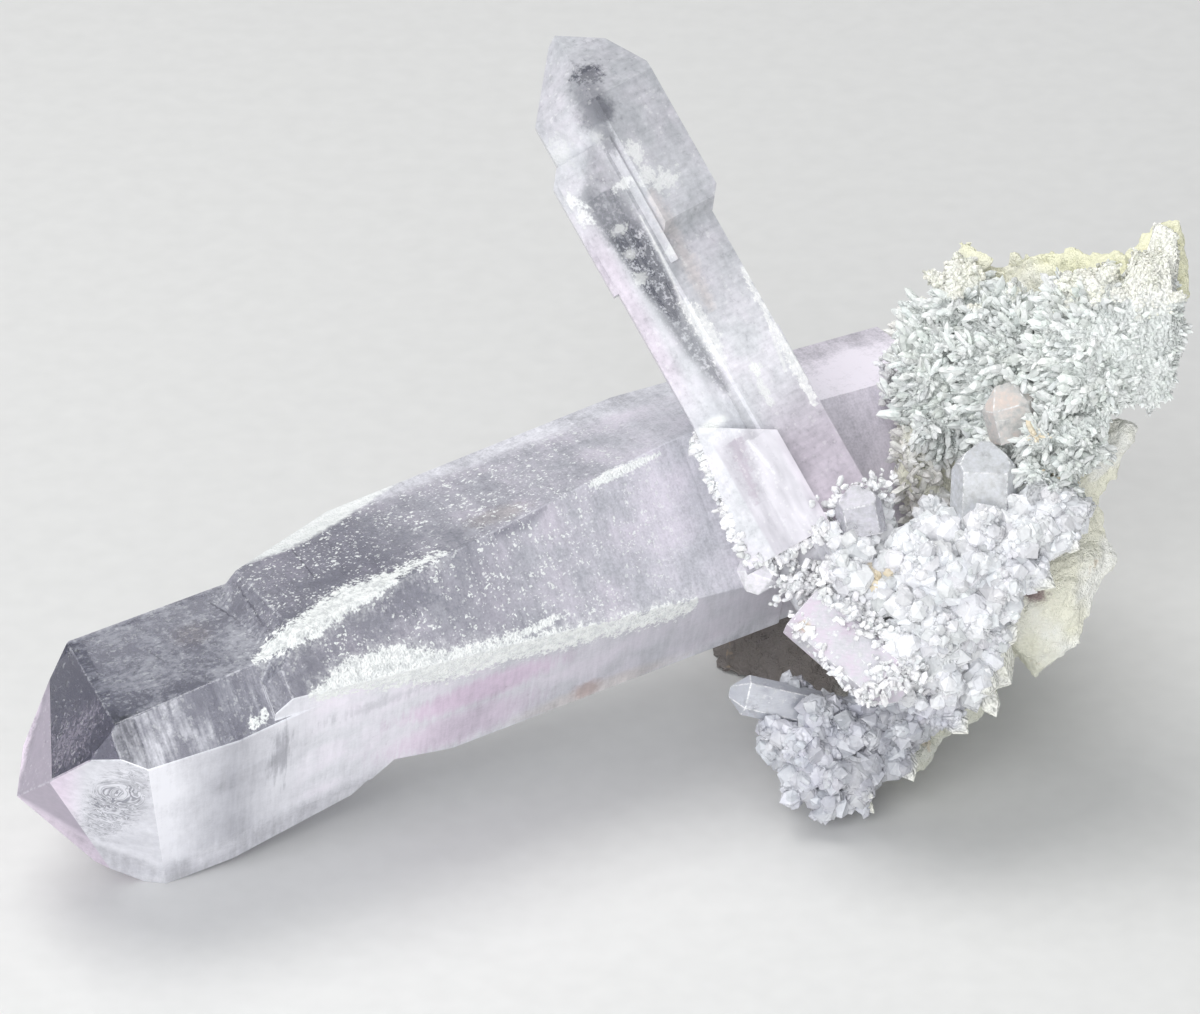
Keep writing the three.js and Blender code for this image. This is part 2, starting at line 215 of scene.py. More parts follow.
    # ragged spots of many sizes, one to a cell of a Voronoi pattern
    def flecks(self, where, drift, scale, size, wander, least):
        nudged = self.add("VectorMath", {"operation": "MULTIPLY_ADD"},
                          {0: drift, 1: (wander,) * 3, 2: where})
        cells = self.add("TexVoronoi", None, {"Vector": nudged, "Scale": scale})
        own = Wire(self, cells.socket.node.outputs[1])  # each cell's own colour, which a sum reads as grey
        return 1 - self.ease(cells - (own - least) * size, -0.03, 0.03)

    # inner is a plainer shader for the stone's surface seen from inside it
    def done(self, surface, absorb=None, inner=None):
        out = self.tree.nodes.new("ShaderNodeOutputMaterial")
        if inner:
            inside = self.add("NewGeometry", None, None, 6)
            surface = self.mixShaders(inside, surface, inner)
        self.tree.links.new(surface.socket, out.inputs["Surface"])
        if absorb:
            volume = self.add("VolumeAbsorption", None, {"Color": absorb[0], "Density": absorb[1]})
            self.tree.links.new(volume.socket, out.inputs["Volume"])
        return self.material


def heading(yaw, pitch):
    yaw, pitch = math.radians(yaw), math.radians(pitch)
    return Vector((math.cos(pitch) * math.cos(yaw), math.cos(pitch) * math.sin(yaw), math.sin(pitch)))


# a crystal's axes: towards its point, towards the viewer, and the side (for the main crystal that is up)
def crystalAxes(tip):
    forward = Vector((0, -0.866, 0.5))
    front = (forward - tip * forward.dot(tip)).normalized()
    return tip, front, tip.cross(front)


# one row of values per item of a mesh
def valuesOf(items, name, kind=float, width=3):
    values = np.zeros(len(items) * width, kind)
    items.foreach_get(name, values)
    return values.reshape(-1, width)


def meshPiece(name, vertices, faceSets, material):
    mesh = bpy.data.meshes.new(name)
    corners = np.concatenate([f.ravel() for f in faceSets])
    totals = np.concatenate([np.full(len(f), f.shape[1]) for f in faceSets])
    mesh.vertices.add(len(vertices))
    mesh.vertices.foreach_set("co", np.asarray(vertices, np.float32).ravel())
    mesh.loops.add(len(corners))
    mesh.loops.foreach_set("vertex_index", corners.astype(np.int32))
    mesh.polygons.add(len(totals))
    mesh.polygons.foreach_set("loop_start", np.concatenate([[0], np.cumsum(totals)[:-1]]).astype(np.int32))
    mesh.polygons.foreach_set("loop_total", totals.astype(np.int32))
    mesh.polygons.foreach_set("use_smooth", np.zeros(len(totals), bool))
    mesh.update(calc_edges=True)
    mesh.validate()
    return showPiece(mesh, material)


def newObject(name, data):
    made = bpy.data.objects.new(name, data)
    bpy.context.scene.collection.objects.link(made)
    return made


def showPiece(mesh, material):
    piece = newObject(mesh.name, mesh)
    mesh.materials.clear()
    mesh.materials.append(material)
    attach(piece, "root")
    return piece


# a copy of a CAD node with its loose triangles merged and its flat faces made whole again
def nodeCopy(node, name, flat=True):
    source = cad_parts[node].data
    mesh = bpy.data.meshes.new(name)
    work = bmesh.new()
    work.from_mesh(source)
    bmesh.ops.remove_doubles(work, verts=work.verts, dist=2e-6)
    if flat:
        bmesh.ops.dissolve_limit(work, angle_limit=math.radians(0.7), verts=work.verts, edges=work.edges)
    work.to_mesh(mesh)
    work.free()
    for polygon in mesh.polygons:
        polygon.use_smooth = False
    return mesh


def applyModifiers(piece):
    graph = bpy.context.evaluated_depsgraph_get()
    finished = bpy.data.meshes.new_from_object(piece.evaluated_get(graph))
    piece.modifiers.clear()
    piece.data = finished


def trianglesOf(mesh):
    mesh.calc_loop_triangles()
    return valuesOf(mesh.vertices, "co"), valuesOf(mesh.loop_triangles, "vertices", np.int32)


def unit(vectors):
    return vectors / np.maximum(np.linalg.norm(vectors, axis=-1, keepdims=True), 1e-12)


def buildStudio():
    pitch = math.radians(studio["elevation"])
    target = Vector(studio["target"]) * mm
    away = Vector((0, math.cos(pitch), -math.sin(pitch)))
    cameraData = bpy.data.cameras.new("camera")
    camera = newObject("camera", cameraData)
    camera.location = target - away * studio["distance"] * mm
    camera.rotation_euler = (math.radians(90 - studio["elevation"]), 0, 0)
    cameraData.sensor_width = 36
    cameraData.lens = 36 * studio["distance"] / studio["fieldWidth"]
    cameraData.clip_start = 0.01
    cameraData.clip_end = 20
    bpy.context.scene.camera = camera

    floorMesh = bpy.data.meshes.new("floor")
    half = 3.0
    corners = [(-half, -half, 0), (half, -half, 0), (half, half, 0), (-half, half, 0)]
    floorMesh.from_pydata(corners, [], [(0, 1, 2, 3)])
    floor = newObject("floor", floorMesh)
    finish = Finish("floorPaint")
    grain = finish.noise(finish.place(), 0.4, 1)
    colour = finish.blend(grain, (0.78, 0.78, 0.77, 1), studio["floorColour"])
    floorMesh.materials.append(finish.done(finish.shader({"Base Color": colour, "Roughness": 0.55})))

    bpy.context.scene.view_settings.view_transform = "Standard"
    world = bpy.data.worlds.new("studio")
    bpy.context.scene.world = world
    world.use_nodes = True
    sky = world.node_tree.nodes["Background"].inputs
    sky["Color"].default_value = studio["worldColour"]
    sky["Strength"].default_value = studio["worldStrength"]

    lights = {  # where, size, power, colour
        "softboxTop": ((-0.16, 0.12, 0.60), 0.44, 2.5, (1, 0.99, 0.97)),
        "softboxFront": ((-0.24, -0.60, 0.40), 0.50, 3.2, (0.98, 0.99, 1)),
        "softboxLow": ((0.20, -0.70, 0.12), 0.40, 1.6, (1, 0.99, 0.98)),
    }
    for name, (where, size, power, colour) in lights.items():
        data = bpy.data.lights.new(name, "AREA")
        data.size, data.energy, data.color = size, power, colour
        light = newObject(name, data)
        light.location = where
        light.rotation_euler = (Vector(where) - Vector((0, 0, 0.03))).to_track_quat("Z", "Y").to_euler()
    print("studio ready")


# marks per facet, in the crystal's own axes: red where it looks up from the front, green where it looks down
# from it, blue on the point, alpha on its steepest facets; a second mark picks out the rounded edges, for
# edge wear and painted highlight. turn is the angle of the facet's normal about the long axis, lean its angle
# towards the tip
def markFacets(mesh, axes, flatNormals):
    normals = valuesOf(mesh.polygons, "normal")
    totals = valuesOf(mesh.polygons, "loop_total", np.int32, 1).ravel()
    tip, front, side = (np.array(a) for a in axes)
    turn = np.degrees(np.arctan2(normals @ side, normals @ front))
    lean = np.degrees(np.arcsin(np.clip(normals @ tip, -1, 1)))
    marks = np.stack([(turn > 5) & (turn < 100), (turn < -5) & (turn > -100), lean > 25, lean > 47], 1) * 1.0
    worn = (normals @ flatNormals.T).max(1) < math.cos(math.radians(2))
    worn = np.repeat(worn[:, None] * 1.0, 4, 1)
    for name, values in (("facets", marks), ("worn", worn)):
        layer = mesh.attributes.new(name, "FLOAT_COLOR", "CORNER")
        layer.data.foreach_set("color", np.repeat(values, totals, 0).ravel())


# a crystal's solid with its edges rounded and its facets marked
def showCrystal(node, name, material, axes, edgeRound, segments):
    mesh = nodeCopy(node, name)
    flatNormals = valuesOf(mesh.polygons, "normal")
    piece = showPiece(mesh, material)
    edge = piece.modifiers.new("edges", "BEVEL")
    edge.width, edge.segments = edgeRound * mm, segments
    edge.limit_method, edge.angle_limit = "ANGLE", math.radians(sharpFrom)
    applyModifiers(piece)
    markFacets(piece.data, axes, flatNormals)
    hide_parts(node)
    print(name, len(piece.data.polygons), "faces")


mainPrism = {
    "centre": (-7.755, -1.497, 18.6),
    "axes": crystalAxes(-heading(26.1, 7.5)),
    "edgeRound": 0.10,
    "absorb": ((0.58, 0.57, 0.68, 1), 40.0),
    "pale": (0.945, 0.945, 1.0, 1),
    "pink": (0.97, 0.80, 0.97, 1),
    "dark": (0.0, 0.008, 0.05, 1),
    # how milky and how light the stone is along each side, (mm from the middle towards the tip, value)
    "milkFront": [(-20, 0.88), (-8, 0.80), (0, 0.78), (6, 0.66), (12, 0.62), (17, 0.44), (24, 0.42),
                  (31, 0.44), (36, 0.56)],
    "milkTop": [(-30, 0.95), (-15, 0.90), (-8, 0.74), (6, 0.64), (12, 0.50), (24, 0.50), (31, 0.50),
                (37, 0.45)],
    "milkLower": [(-20, 0.90), (0, 0.88), (10, 0.92), (14, 0.98), (22, 1.0), (27, 0.92), (32, 0.90),
                  (37, 1.0)],
    "lightFront": [(-34, 0.80), (-24, 0.74), (-15, 0.72), (-8, 0.60), (0, 0.56), (6, 0.44), (12, 0.47),
                   (17, 0.47), (24, 0.50), (31, 0.29), (34, 0.42), (36, 0.54)],
    # painted light: towards the root the upper side is lighter where the slender prism's shadow falls
    "lightTop": [(-34, 1.0), (-24, 0.92), (-15, 0.78), (-8, 0.55), (6, 0.48), (10, 0.42), (13, 0.26),
                 (24, 0.34), (31, 0.28), (36, 0.26), (39, 0.18)],
    "lightLower": [(-20, 0.64), (-8, 0.63), (2, 0.70), (8, 0.68), (14, 0.84), (22, 0.92), (27, 0.80),
                   (31, 0.54), (34, 0.74), (37, 1.0)],
    # strokes of white clay, (mm along, middle across, half width)
    "clayUpper": [(7.6, 4.3, 0.15), (8.4, 4.24, 0.3), (12, 4.05, 0.32), (14.6, 3.6, 0.85), (17.2, 3.4, 1.15),
                  (20, 2.9, 1.05), (22, 2.4, 1.1), (24, 2.1, 0.9), (26, 1.5, 0.45), (27, 1.3, 0.15)],
    "clayLower": [(-13, -7.25, 0.3), (-12.4, -7.25, 0.5), (-9.5, -7.1, 0.75), (-7.3, -6.9, 0.6),
                  (0.4, -6.0, 0.75), (3.3, -5.6, 0.8), (6, -5.05, 0.95), (7.8, -4.95, 1.1),
                  (11.6, -4.5, 1.25), (15, -3.2, 1.75), (18, -2.8, 1.5), (20, -2.5, 1.3), (22, -3.05, 0.85),
                  (24, -2.85, 0.3)],
    "clayBranch": [(-1, -4.2, 0.15), (3, -4.35, 0.45), (6, -4.4, 0.45), (8, -4.4, 0.3)],
    "claySpindle": [(-14.5, 5.8, 0.1), (-13.0, 5.72, 0.28), (-9, 5.5, 0.48), (-7.4, 5.35, 0.28),
                    (-6.9, 5.3, 0.1)],
    "clayHead": [(27.4, -3.0, 0.25), (28.6, -3.3, 0.45), (29.6, -3.5, 0.1)],
    # how far towards the viewer the rim along the growth step begins, (mm along, mm)
    "rim": [(-4, -3.6), (5.7, -2.9), (12.2, -0.5), (16, 0.5), (18, 0.9), (22, 0.8), (24.5, -1.5)],
    "stained": (0.93, 0.84, 0.76, 1),
    "rust": (0.60, 0.44, 0.40, 1),
    "crack": (0.04, 0.04, 0.06, 1),
    "clayShades": ((0.84, 0.87, 0.86, 1), (0.97, 0.99, 0.98, 1)),
    "inside": (0.66, 0.66, 0.72, 1),
    "milkAway": 0.7,
    "lightAway": 0.82,
}


def mainFinish():
    f, look = Finish("paleAmethyst"), mainPrism
    here = f.place(look["centre"], look["axes"])
    u, v, w = f.split(here)  # mm towards the tip, towards the viewer and up the picture
    above, below, point = f.split(f.attribute("facets"))
    tip = f.ease(u, 33, 35)  # the growth step further back isn't part of the point
    point, steep = point * tip, f.attribute("facets", 3) * tip
    worn = f.attribute("worn", 2)
    ahead = f.ease(v, -2.5, -0.5)  # 0 on the sides that look away
    front = (1 - above - below) * ahead

    lines = f.noise(f.stretch(here, (2.6, 0.3, 0.3)), 1.0, 3, 0.0, 0.62)
    bands = f.noise(f.stretch(here, (0.8, 0.14, 0.14)), 1.0, 1)
    cloud = f.noise(here, 0.24, 3)
    fine = f.noise(here, 1.5, 3, 0.0, 0.68)
    sand = f.noise(here, 5.0, 1)
    jag, mist, dust, ripple = fine - 0.5, cloud - 0.5, sand - 0.5, lines - 0.5

    def sides(kind):
        facing, lower, top = (f.along(u, look[kind + side]) for side in ("Front", "Lower", "Top"))
        return f.between(ahead, look[kind + "Away"], f.between(above, f.between(below, facing, lower), top))

    milk, light = sides("milk"), sides("light")
    head = f.ease(u, 22, 26)
    calm = 1 - below * 0.6  # the lower side is smoother
    streaks = ripple * (0.35 + front * head * 0.9)
    milk = milk + mist * 0.5 + (bands - 0.5) * 0.25 + streaks * 0.5
    milk = milk + (jag * 0.3 + dust * 0.2) * calm
    light = light * (1 + streaks * 0.8 + mist * 0.45 + (jag * 0.35 + dust * 0.3) * calm)

    # the head: light frosted panes on its front, soft dark hollows on its upper side
    panes = f.ease(bands * 0.5 + cloud * 0.5 + jag * 0.15, 0.48, 0.60) * front * f.near(u, 35, 6)
    hollows = f.most(f.patch(u, w, (30.6, 4.9), (3.4, 1.3), jag * 0.7),
                     f.patch(u, w, (27.2, 5.6), (1.6, 0.9), jag * 0.7))
    milk = milk + panes * 0.15 - hollows * above * 0.12
    light = light + panes * 0.12 - hollows * above * 0.04
    haze = f.ease(cloud * 0.5 + fine * 0.5, 0.42, 0.62) * above * head
    milk = milk + haze * 0.2
    light = light + haze * 0.08
    dark = f.stroke(u, w, [(-2.5, 4.9, 0.2), (0, 4.2, 0.55), (3, 4.2, 0.3)], jag * 1.2, 0.5) * front
    dark = f.most(dark * 0.5, f.patch(u, w, (12.6, 2.2), (3.0, 2.6), jag * 1.6) * front * 0.3,
                  f.patch(u, w, (26.6, -6.4), (1.1, 2.6), ripple * 2.4) * below * 0.5,
                  f.patch(u, w, (17.0, -5.6), (6.0, 0.5), ripple * 2.4) * below * 0.25)
    milk = milk - dark * 0.3
    light = light - dark * 0.35

    # the point: a dark clear facet with frost on it, a milky one with a shell-like fracture, pink outer ones
    hairs = f.noise(f.stretch(here, (1.6, 1.6, 0.6)), 1.5, 2, 0.0, 0.7)
    frost = f.ease(hairs * 0.6 + sand * 0.4 + mist * 0.5, 0.34, 0.66)
    frost = frost * (1 - f.ease(w, 1.8, 4.4) * 0.85)
    away = f.add("VectorMath", {"operation": "DISTANCE"}, {0: here, 1: (39.2, 6.4, -3.6)}, 1)
    shells = f.noise(f.add("CombineXYZ", None, {0: away * 1.5, 1: u * 0.5, 2: w * 0.5}), 1.0, 2, 0.8)
    core = f.patch(u, w, (40.8, -5.6), (2.6, 3.0), jag * 0.8)
    curls = f.most(f.near(shells, 0.5, 0.035), f.near(shells, 0.58, 0.03), f.near(shells, 0.42, 0.03) * 0.7)
    curls = f.most(curls, f.ease(shells, 0.54, 0.66) * 0.5) * core
    tipMilk = f.between(below, 0.16 + frost * 0.42, 0.88 + mist * 0.3 - curls * 0.15)
    tipLight = 0.78 + jag * 0.35 + mist * 0.3 - curls * 0.42
    tipLight = f.between(below, 0.04 + frost * 0.27, tipLight)
    milk = f.between(point * ahead, milk, f.between(steep, tipMilk, 0.85))
    light = f.between(point * ahead, light, f.between(steep, tipLight, 0.41 + jag * 0.2))

    pink = f.most(steep * 0.75, f.ease(u, 42.6, 44.6) * 0.7, (1 - f.ease(u, -34, -24)) * 0.3,
                  point * (1 - below) * 0.6, (cloud - 0.35) * 0.9 * (1 - head) * ahead)
    band = f.patch(u, w, (7.5, -7.7), (9.5, 1.2), ripple * 0.9)
    edge = f.patch(u, w, (9.0, -10.0), (9.0, 1.6), ripple * 0.9) * 0.7
    pink = f.most(pink, f.most(band, edge) * below)
    warm = below * f.patch(u, w + v * 0.5, (-4.0, -12.2), (9.0, 1.5), jag * 0.5)
    tan = f.patch(u, w, (1.6, 5.7), (3.4, 0.8), jag * 1.2) * ahead
    stain = f.patch(u, w, (-3.0, -11.0), (1.6, 0.8), jag * 0.8) * below
    colour = f.blend(pink, look["pale"], look["pink"])
    umber = f.patch(u, w, (29.4, 5.2), (2.0, 1.2), jag * 1.0) * above
    colour = f.blend(f.most(warm * 0.5, tan * 0.5, umber * 0.6), colour, look["stained"])
    colour = f.blend(stain * 0.7, colour, look["rust"])
    body = f.blend(light, look["dark"], colour)

    ragged = jag * 2.1 + dust * 0.9
    strokes = [look["clay" + name] for name in ("Upper", "Lower", "Branch", "Head")]
    clay = f.most(*[f.stroke(u, w, stops, ragged, 0.2) for stops in strokes])
    veil = f.most(*[f.stroke(u, w, stops, ragged * 1.4 + 0.3, 0.9) for stops in strokes[:2]]) * front
    clay = clay * (0.76 + f.ease(sand * 0.4 + fine * 0.6, 0.42, 0.54) * 0.24)
    clay = f.most(clay, veil * 0.35, f.stroke(u, w, look["claySpindle"], dust * 0.6))
    rim = f.ease(f.along(u, look["rim"]) - v + jag * 0.9, -0.2, 0.5)
    rim = rim * f.ease(u, -1, 5) * (1 - f.ease(u, 23, 24.5)) * f.ease(w, 6, 8)
    clay = f.most(clay * ahead, rim * 0.9)
    drift = f.wander(here)
    specks = f.most(f.flecks(here, drift, 2.1, 0.76, 0.7, 0.34), f.flecks(here, drift, 1.2, 0.56, 1.2, 0.40),
                    f.flecks(here, drift, 3.6, 0.8, 0.4, 0.34) * 0.7)
    where = f.ease(cloud, 0.36, 0.48) * f.most(front, above) * f.ease(u, -19, -7)
    where = where * (1 - f.ease(u, 20, 27) * 0.75) * ahead
    specks = specks * where * f.ease(sand, 0.32, 0.46)

    # four fine cracks on the upper side, each nearly square to the length
    bent = jag * 0.5
    cracks = f.most(f.near(u + w * 0.12, 18.95, 0.10) * f.near(v, 3.5, 4.0) * above,
                    f.near(u + v * -0.10 + jag * 0.7, 23.5, 0.09) * f.near(v, 5.0, 4.2) * above,
                    f.near(u + w * -0.35 + bent, 23.6, 0.10) * f.near(w, 6.2, 1.7) * above * ahead,
                    f.near(u + w * -0.30 + bent, 31.8, 0.08) * f.near(w, 4.6, 1.3) * above * ahead * 0.8)
    body = f.blend(cracks * 0.8, body, look["crack"])
    # edge wear and painted highlight: the rounded edges are whitened and made milkier
    worn = worn * f.ease(fine, 0.40, 0.60)
    body = f.blend(worn * 0.3, body, edgeSheenWhite)
    milk = f.ease(f.most(milk, cracks * 0.8, worn * 0.6), 0.0, 1.0)
    clearRough = 0.03 + f.ease(cloud, 0.4, 0.7) * 0.12
    stone = f.quartz(milk, prismClear, body, clearRough, 0.22 + fine * 0.2, f.bump(lines, 0.25, 0.00004))
    dusty = f.shader({"Base Color": f.blend(f.ease(fine, 0.36, 0.62), *look["clayShades"]),
                      "Roughness": 0.85, "Normal": f.bump(sand, 0.8, 0.0003)})
    outer = f.mixShaders(f.most(clay * 0.95, specks * 0.85), stone, dusty)
    return f.done(outer, look["absorb"], f.insideOf(look["inside"]))


secondPrism = {
    "centre": (6.345, 7.303, 42.0),
    "axes": crystalAxes(heading(138.5, 48.9)),
    "edgeRound": 0.09,
    "absorb": ((0.62, 0.61, 0.70, 1), 36.0),
    "pale": (0.95, 0.96, 1.0, 1),
    "pink": (0.98, 0.83, 0.97, 1),
    "dark": (0.0, 0.01, 0.03, 1),
    "milkLeft": [(-22, 0.95), (-9, 0.90), (-4, 0.85), (6, 0.88), (11, 0.80), (14, 0.85), (22, 0.85)],
    "milkRight": [(-22, 0.95), (-12, 0.90), (-4, 0.88), (6, 0.82), (10, 0.84), (14, 0.80), (22, 0.85)],
    "lightLeft": [(-22, 0.78), (-11, 0.84), (-8, 0.78), (0, 0.74), (7, 0.74), (12, 0.70), (15, 0.70),
                  (18, 0.58), (22, 0.56)],
    "lightRight": [(-22, 0.86), (-18, 0.58), (-15, 0.62), (-12, 0.76), (-7, 0.84), (-2, 0.66), (4, 0.56),
                   (7, 0.62), (11, 0.56), (16, 0.53), (20, 0.48), (23, 0.56)],
    # (mm along, middle across, half width)
    "darkBand": [(-3.0, -1.6, 0.2), (-1.0, -1.6, 0.8), (0.8, -1.6, 1.2), (3.7, -1.6, 1.4), (6.6, -1.8, 1.5),
                 (8.6, -1.9, 1.5), (10.1, -1.9, 1.4)],
    "greyBand": [(6.0, -1.8, 1.7), (8.6, -1.8, 2.0), (10.6, -1.8, 2.0), (12.0, -1.2, 1.1), (14.0, -0.8, 0.5)],
    "greyEdge": [(-0.8, -0.1, 0.2), (3.0, 0.3, 0.4), (6.4, 0.5, 0.4), (8.4, 0.5, 0.1)],
    "lowBand": [(-9.6, -0.9, 0.1), (-8.2, -1.0, 0.5), (-5.3, -1.5, 0.8), (-2.0, -1.8, 0.9), (0.0, -1.9, 0.9)],
    "longBand": [(-14, -0.9, 0.7), (-10, -1.6, 0.9), (-7, -1.9, 0.5)],
    "salmon": [(-3.0, 1.4, 0.3), (1.0, 1.6, 0.6), (6.5, 1.7, 0.5), (8.5, 1.8, 0.2)],
    "flake": [(-14.2, 5.2, 0.25), (-12, 5.2, 0.42), (-9, 5.35, 0.5), (-6.5, 5.3, 0.3), (-1, 5.45, 0.25)],
    "leaf": [(-10.5, 4.3, 0.12), (-8.8, 4.6, 0.16), (-7.0, 4.9, 0.10)],
    "chips": [(-7.9, -0.1, 0.3), (-5.0, 0.1, 0.75), (-2.5, -0.1, 0.75), (-1.0, -0.5, 0.25)],
    "ridge": [(-1.0, -0.5, 0.10), (2.0, -0.2, 0.10), (5.0, -0.05, 0.08), (7.0, 0.0, 0.06)],
    "footStrip": [(-19.0, -3.3, 0.25), (-16, -2.9, 0.6), (-13.4, -2.4, 0.75)],
    "footRay": [(-17.5, -0.9, 0.10), (-15.6, -1.2, 0.14), (-13.9, -1.5, 0.1)],
    "salmonShade": (0.98, 0.88, 0.84, 1),
    "clayShades": ((0.93, 0.95, 0.93, 1), (0.99, 0.99, 0.98, 1)),
    "inside": (0.72, 0.72, 0.76, 1),
    "milkAway": 0.7,
    "lightAway": 0.8,
    # clay in lumps, ((mm along, mm across), half sizes)
    "lumps": [((11.9, 2.3), (1.1, 0.9)), ((9.6, 2.3), (1.0, 1.2)), ((8.6, 3.4), (1.1, 1.3)),
              ((9.9, 0.2), (0.5, 1.0))],
    "flecks": [((6.8, -2.2), (0.5, 0.8)), ((4.6, -2.3), (0.5, 0.7)), ((2.4, -2.6), (0.6, 0.8)),
               ((3.0, 0.7), (0.6, 0.5))],
}


def secondFinish():
    f, look = Finish("clearAmethyst"), secondPrism
    here = f.place(look["centre"], look["axes"])
    u, v, w = f.split(here)
    right, left, _ = f.split(f.attribute("facets"))
    worn = f.attribute("worn", 2)
    ahead = f.ease(v, -1.5, 0.5)
    foot = f.ease(v, 6.05, 6.2) * (1 - f.ease(u, -13.5, -12.5))
    lines = f.noise(f.stretch(here, (2.4, 0.5, 0.5)), 1.0, 2)
    grain = f.noise(f.stretch(here, (0.3, 1.1, 1.1)), 1.0, 2)  # faint streaks along the crystal
    cloud = f.noise(here, 0.32, 3)
    fine = f.noise(here, 1.7, 3, 0.0, 0.68)
    sand = f.noise(here, 5.0, 1)
    jag, mist, dust, ripple, fibre = fine - 0.5, cloud - 0.5, sand - 0.5, lines - 0.5, grain - 0.5

    def sides(kind):
        leftSide, rightSide = (f.along(u, look[kind + side]) for side in ("Left", "Right"))
        return f.between(ahead, look[kind + "Away"], f.between(right, leftSide, rightSide))

    milk, light = sides("milk"), sides("light")
    milk = milk + mist * 0.4 + jag * 0.3 + fibre * 0.2
    streaks = fibre * 0.2 + ripple * (0.15 + right * 0.3)
    light = light * (1 + mist * 0.4 + jag * 0.45 + streaks)
    milk = f.between(foot, milk, 0.90)
    light = f.between(foot, light, 0.70 + fibre * 0.45 + mist * 0.4)

    ragged = jag * 1.6 + dust * 0.5
    mottle = f.ease(fine * 0.7 + sand * 0.3, 0.48, 0.62)
    window = f.most(f.patch(u, w, (17.6, 1.2), (3.4, 1.7), jag * 0.4) * 0.5,
                    f.patch(u, w, (19.5, 1.9), (1.2, 1.6), jag * 1.6) * (0.9 - mottle * 0.4),
                    f.patch(u, w, (16.3, 1.0), (1.8, 1.9), jag * 0.6) * (0.6 + f.ease(w, 0.2, 2.0) * 0.4),
                    f.patch(u, w, (14.3, 0.7), (2.2, 0.9), jag * 1.2) * 0.5)
    dark, low = (f.stroke(u, w, look[name], ragged, 0.45) for name in ("darkBand", "lowBand"))
    faint = ("greyBand", "longBand", "footStrip")
    grey, long, strip = (f.stroke(u, w, look[name], ragged * 1.3, 0.6) for name in faint)
    greyEdge = f.stroke(u, w, look["greyEdge"], ragged, 0.3)
    dark = dark * (0.95 - mottle * 0.6) * (1 - f.ease(u, 5.0, 8.5) * 0.55)
    shade = f.most(window, dark, low * (0.55 - mottle * 0.35)) * ahead
    halfShade = f.most(grey * 0.7, greyEdge * 0.3, long * 0.4, strip * 0.4) * ahead
    milk = f.between(shade, milk - halfShade * 0.3, 0.50)
    light = f.between(shade, light - halfShade * 0.26, 0.07)

    pinkRoot = (1 - f.ease(u, -18, -8)) * f.ease(w, -1.0, 2.0) * 0.65
    pinkLeft = left * f.near(u, 0, 12) * (1 - f.ease(w, -4.2, -2.8)) * 0.55
    pink = f.most(pinkRoot, pinkLeft, foot * 0.25, strip * 0.6, (cloud - 0.4) * 0.8)
    colour = f.blend(pink, look["pale"], look["pink"])
    salmon = f.stroke(u, w, look["salmon"], ragged, 0.5) * 0.5
    colour = f.blend(salmon, colour, look["salmonShade"])
    body = f.blend(light, look["dark"], colour)

    def lump(at, size):
        return f.patch(u, w, at, size, jag * 3.4 + dust * 0.8)

    lumps = f.most(*[lump(*one) for one in look["lumps"]], lump((14.4, 0.2), (0.7, 0.5)) * 0.6)
    flecks = f.most(*[lump(*one) for one in look["flecks"]])
    chips = f.stroke(u, w, look["chips"], ragged, 0.2) * (0.55 + mottle * 0.45)
    flake = f.stroke(u, w, look["flake"], jag * 1.6 + dust * 0.3, 0.14)
    slips = [f.stroke(u, w, look[name], jag * 0.5, 0.14) * 0.6 for name in ("leaf", "ridge", "footRay")]
    flake = f.most(flake * (0.6 + mottle * 0.4), *slips)
    glints = f.most(lump((-9.0, 2.1), (0.7, 0.5)), lump((-11.2, 1.9), (1.5, 0.4)) * 0.6)
    ledge = f.patch(u, w, (-11.3, -3.3), (0.6, 1.6), jag * 0.8)
    scuffs = f.most(lump((10.9, -4.4), (0.8, 0.7)), lump((9.4, -4.1), (1.0, 0.7)),
                    lump((15.0, -3.2), (1.5, 1.2)) * 0.5)
    grains = f.flecks(here, f.wander(here), 2.4, 0.75, 0.4, 0.34) * f.ease(cloud, 0.40, 0.55) * 0.22
    white = f.most(lumps * 0.55, flecks * 0.45, chips * 0.85, flake * 0.9, glints, ledge * 0.9, scuffs * 0.7,
                   grains)
    # edge wear and painted highlight on the rounded edges, fainter towards the point
    worn = worn * f.ease(fine, 0.40, 0.65) * (1 - f.ease(u, -2, 3) * 0.8)
    white = f.most(white * ahead, worn * 0.4)

    clearRough = 0.03 + f.ease(fine, 0.5, 0.8) * 0.15
    stone = f.quartz(f.ease(milk, 0.0, 1.0), prismClear, body, clearRough, 0.20 + fine * 0.2,
                     f.bump(grain, 0.25, 0.00005))
    dusty = f.shader({"Base Color": f.blend(f.ease(fine, 0.35, 0.6), *look["clayShades"]),
                      "Roughness": 0.7, "Normal": f.bump(sand, 0.6, 0.0002)})
    return f.done(f.mixShaders(white, stone, dusty), look["absorb"], f.insideOf(look["inside"]))


def buildPrism(node, name, recipe, material):
    showCrystal(node, name, material, recipe["axes"], recipe["edgeRound"], 2)


